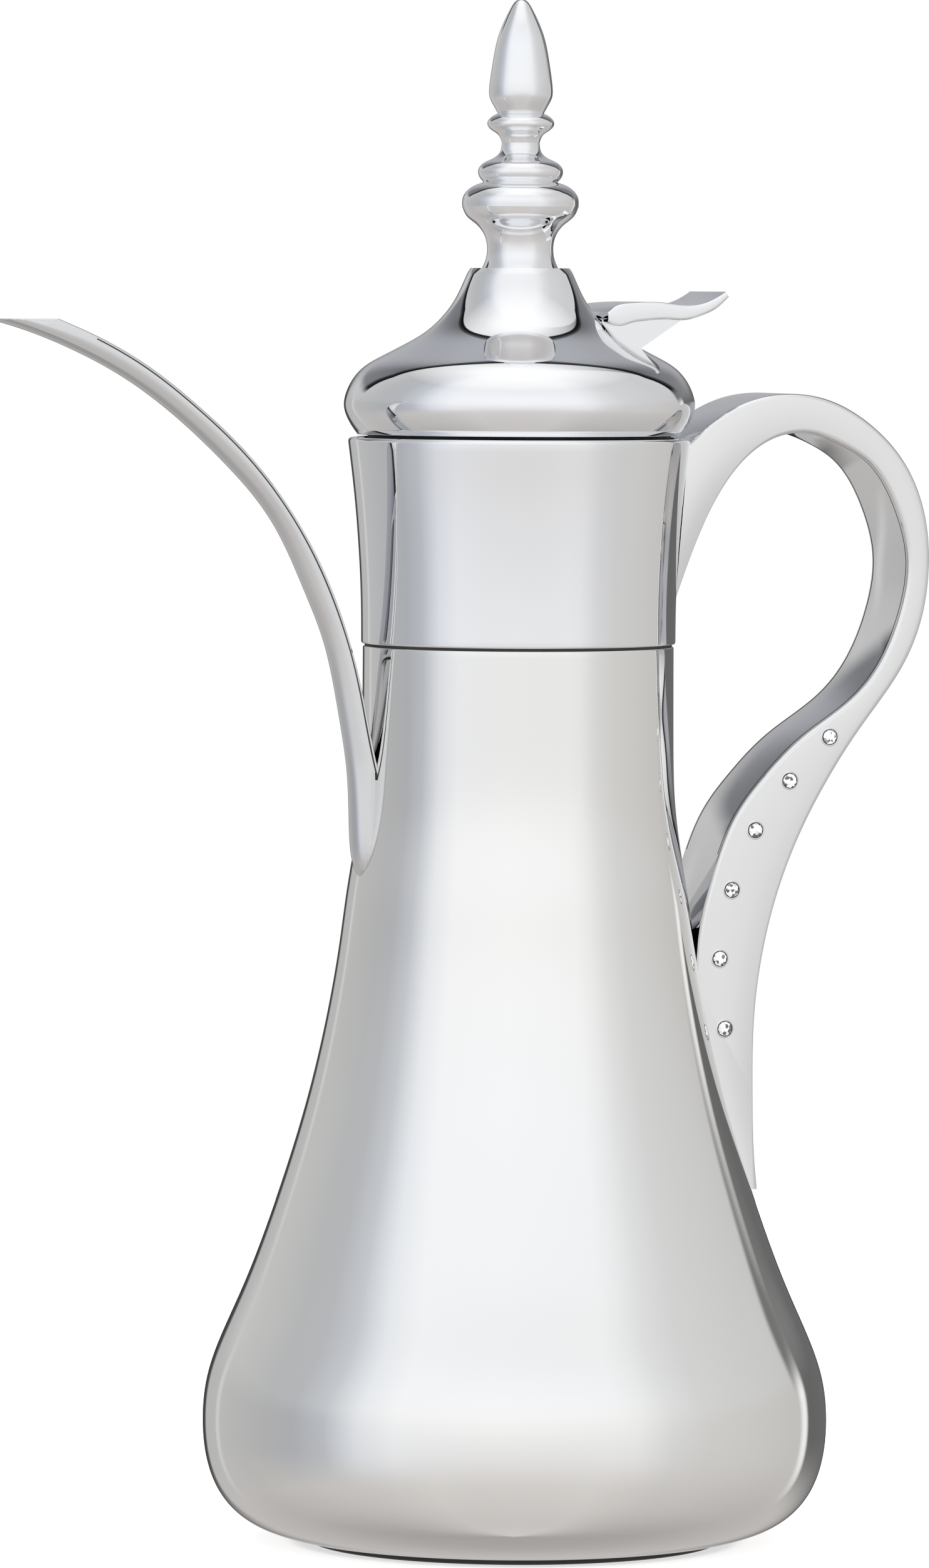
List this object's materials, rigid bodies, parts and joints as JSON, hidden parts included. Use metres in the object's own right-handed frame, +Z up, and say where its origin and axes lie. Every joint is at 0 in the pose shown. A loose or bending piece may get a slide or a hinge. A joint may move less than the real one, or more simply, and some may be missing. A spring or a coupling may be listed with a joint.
{
  "type": "dallah coffee pot",
  "caption": "Insulated dallah coffee pot with a long curved spout, looped ribbon handle set with crystals, turned finial, and a thumb lever that opens the pouring valve in its lid.",
  "frame": {"origin": "centre of the flat resting face, on the axis of the body", "axes": "+Z up along the body's axis, spout toward -X, handle and thumb lever toward +X, +Y to the left when looking along +X"},
  "size_m": [0.2357, 0.15, 0.3697],
  "materials": {
    "chrome": "mirror polish",
    "satin_steel": "soft satin polish",
    "plain_steel": "plain machined",
    "dark_plastic": "fine moulded grain",
    "silicone": "matte silicone",
    "black_rubber": "matte",
    "flask_glass": "silvered glass",
    "crystal": "faceted"
  },
  "bodies": {
    "pot": {"outer_body": "satin_steel", "base_ring": "dark_plastic", "base_cap": "plain_steel", "foot_pad": "black_rubber", "flask_cushion": "silicone", "flask_outer_glass": "flask_glass", "flask_inner_glass": "flask_glass", "flask_seal": "silicone", "port_floor": "dark_plastic", "port_ring": "dark_plastic", "neck_insert": "dark_plastic", "seam_gasket": "black_rubber", "collar": "chrome", "port_gasket": "silicone", "spout_shell": "chrome", "spout_cover": "chrome", "handle_shell": "chrome", "handle_cover": "chrome", "handle_screws": "plain_steel", "crystal_bezels": "chrome", "crystals": "crystal"},
    "lid": {"lid_dome": "chrome", "lid_base": "dark_plastic", "lid_gasket": "black_rubber", "lid_screws": "plain_steel", "stopper_body": "dark_plastic", "stopper_seal": "silicone", "finial_base": "chrome", "finial_bulb": "chrome", "finial_ring": "chrome", "finial_bead": "chrome", "finial_spire": "chrome", "finial_stud": "plain_steel", "finial_washer": "plain_steel", "finial_nut": "plain_steel", "lever_pin": "plain_steel", "valve_spring": "plain_steel"},
    "lever": {"thumb_plate": "chrome", "lever_arm": "plain_steel"},
    "valve": {"valve_rod": "plain_steel", "valve_clip": "plain_steel", "valve_disc": "dark_plastic", "valve_seal": "silicone"}
  },
  "joints": [
    {"name": "lid_lift", "type": "slide", "parent": "pot", "child": "lid", "axis": [0, 0, 1], "range_m": [0, 0.112]},
    {"name": "lever_press", "type": "hinge", "parent": "lid", "child": "lever", "pos_m": [0.014, 0, 0.286], "axis": [0, 1, 0], "range_deg": [0, 12]},
    {"name": "valve_lift", "type": "slide", "parent": "lid", "child": "valve", "axis": [0, 0, 1], "range_m": [0, 0.003], "stiffness_N_per_m": 500, "springref_m": -0.006, "deforming": ["valve_spring"]}
  ],
  "couplings": [
    {"joint": "lever_press", "follows": "valve_lift", "rad_per_m": 69.8}
  ]
}
